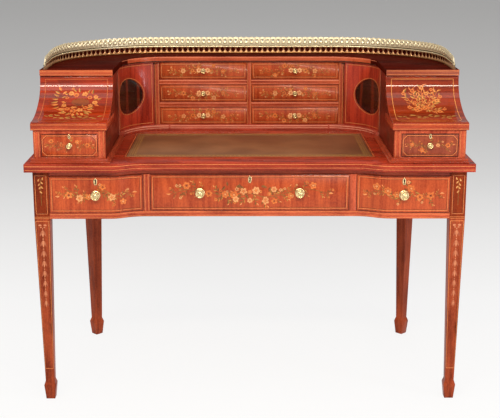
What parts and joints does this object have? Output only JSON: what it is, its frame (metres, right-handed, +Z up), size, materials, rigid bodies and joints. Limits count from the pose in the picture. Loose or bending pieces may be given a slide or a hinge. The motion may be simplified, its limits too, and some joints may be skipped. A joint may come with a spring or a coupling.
{
  "type": "writing desk",
  "caption": "D-shaped writing desk: drawer frieze on tapered legs, lidded wings, concave corner cupboards, small drawers and a galleried horseshoe shelf.",
  "frame": {"origin": "on the floor under the middle of the table top", "axes": "+X to the writer's right, +Y from the front edge to the back, +Z up"},
  "size_m": [1.32, 0.73, 1.047],
  "materials": {
    "mahogany": "French polished, reddish",
    "dark_mahogany": "French polished, dark red brown",
    "lining_wood": "plain, waxed",
    "brass": "polished, mellow",
    "leather": "satin, tooled border"
  },
  "bodies": {
    "carcase": {"leg_front_left": "dark_mahogany", "leg_front_right": "dark_mahogany", "leg_back_left": "dark_mahogany", "leg_back_right": "dark_mahogany", "apron_left": "mahogany", "apron_right": "mahogany", "apron_back": "mahogany", "frieze_lower_rail": "mahogany", "frieze_upper_rail": "dark_mahogany", "frieze_dividers": "mahogany", "frieze_bearers": "lining_wood", "table_top": "mahogany", "writing_leather": "leather", "case_back": "mahogany", "shelf_board": "dark_mahogany", "nest_base": "mahogany", "nest_uprights": "mahogany", "nest_rails": "mahogany", "wing_flanks": "mahogany", "wing_frames": "mahogany", "wing_ledges": "mahogany", "wing_plinths": "mahogany", "wing_inner_boards": "lining_wood", "lid_hinges": "brass", "gallery_rails": "brass", "gallery_band": "brass", "gallery_posts": "brass"},
    "frieze_drawer_left": {"frieze_drawer_left_front": "mahogany", "frieze_drawer_left_box": "lining_wood", "frieze_drawer_left_fittings": "brass"},
    "frieze_drawer_centre": {"frieze_drawer_centre_front": "mahogany", "frieze_drawer_centre_box": "lining_wood", "frieze_drawer_centre_fittings": "brass"},
    "frieze_drawer_right": {"frieze_drawer_right_front": "mahogany", "frieze_drawer_right_box": "lining_wood", "frieze_drawer_right_fittings": "brass"},
    "wing_drawer_left": {"wing_drawer_left": "mahogany", "wing_drawer_left_fittings": "brass"},
    "wing_drawer_right": {"wing_drawer_right": "mahogany", "wing_drawer_right_fittings": "brass"},
    "nest_drawer_lower_left": {"nest_drawer_lower_left": "mahogany", "nest_drawer_lower_left_knob": "brass"},
    "nest_drawer_lower_right": {"nest_drawer_lower_right": "mahogany", "nest_drawer_lower_right_knob": "brass"},
    "nest_drawer_middle_left": {"nest_drawer_middle_left": "mahogany", "nest_drawer_middle_left_knob": "brass"},
    "nest_drawer_middle_right": {"nest_drawer_middle_right": "mahogany", "nest_drawer_middle_right_knob": "brass"},
    "nest_drawer_upper_left": {"nest_drawer_upper_left": "mahogany", "nest_drawer_upper_left_knob": "brass"},
    "nest_drawer_upper_right": {"nest_drawer_upper_right": "mahogany", "nest_drawer_upper_right_knob": "brass"},
    "wing_lid_left": {"lid_left": "mahogany"},
    "wing_lid_right": {"lid_right": "mahogany"},
    "door_left": {"cupboard_door_left": "mahogany", "door_oval_left": "mahogany", "door_pivots_left": "brass"},
    "door_right": {"cupboard_door_right": "mahogany", "door_oval_right": "mahogany", "door_pivots_right": "brass"}
  },
  "joints": [
    {"name": "frieze_drawer_left_slide", "type": "slide", "parent": "carcase", "child": "frieze_drawer_left", "axis": [0, -1, 0], "range_m": [0, 0.3]},
    {"name": "frieze_drawer_centre_slide", "type": "slide", "parent": "carcase", "child": "frieze_drawer_centre", "axis": [0, -1, 0], "range_m": [0, 0.38]},
    {"name": "frieze_drawer_right_slide", "type": "slide", "parent": "carcase", "child": "frieze_drawer_right", "axis": [0, -1, 0], "range_m": [0, 0.3]},
    {"name": "wing_drawer_left_slide", "type": "slide", "parent": "carcase", "child": "wing_drawer_left", "axis": [0, -1, 0], "range_m": [0, 0.13]},
    {"name": "wing_drawer_right_slide", "type": "slide", "parent": "carcase", "child": "wing_drawer_right", "axis": [0, -1, 0], "range_m": [0, 0.13]},
    {"name": "nest_drawer_lower_left_slide", "type": "slide", "parent": "carcase", "child": "nest_drawer_lower_left", "axis": [0, -1, 0], "range_m": [0, 0.065]},
    {"name": "nest_drawer_lower_right_slide", "type": "slide", "parent": "carcase", "child": "nest_drawer_lower_right", "axis": [0, -1, 0], "range_m": [0, 0.065]},
    {"name": "nest_drawer_middle_left_slide", "type": "slide", "parent": "carcase", "child": "nest_drawer_middle_left", "axis": [0, -1, 0], "range_m": [0, 0.065]},
    {"name": "nest_drawer_middle_right_slide", "type": "slide", "parent": "carcase", "child": "nest_drawer_middle_right", "axis": [0, -1, 0], "range_m": [0, 0.065]},
    {"name": "nest_drawer_upper_left_slide", "type": "slide", "parent": "carcase", "child": "nest_drawer_upper_left", "axis": [0, -1, 0], "range_m": [0, 0.065]},
    {"name": "nest_drawer_upper_right_slide", "type": "slide", "parent": "carcase", "child": "nest_drawer_upper_right", "axis": [0, -1, 0], "range_m": [0, 0.065]},
    {"name": "lid_left_hinge", "type": "hinge", "parent": "carcase", "child": "wing_lid_left", "pos_m": [-0.5295, -0.131, 0.9697], "axis": [-1, 0, 0], "range_deg": [0, 70]},
    {"name": "lid_right_hinge", "type": "hinge", "parent": "carcase", "child": "wing_lid_right", "pos_m": [0.5295, -0.131, 0.9697], "axis": [-1, 0, 0], "range_deg": [0, 70]},
    {"name": "door_left_hinge", "type": "hinge", "parent": "carcase", "child": "door_left", "pos_m": [-0.431, 0.069, 0.87], "axis": [0, 0, -1], "range_deg": [0, 90]},
    {"name": "door_right_hinge", "type": "hinge", "parent": "carcase", "child": "door_right", "pos_m": [0.431, 0.069, 0.87], "axis": [0, 0, 1], "range_deg": [0, 90]}
  ]
}
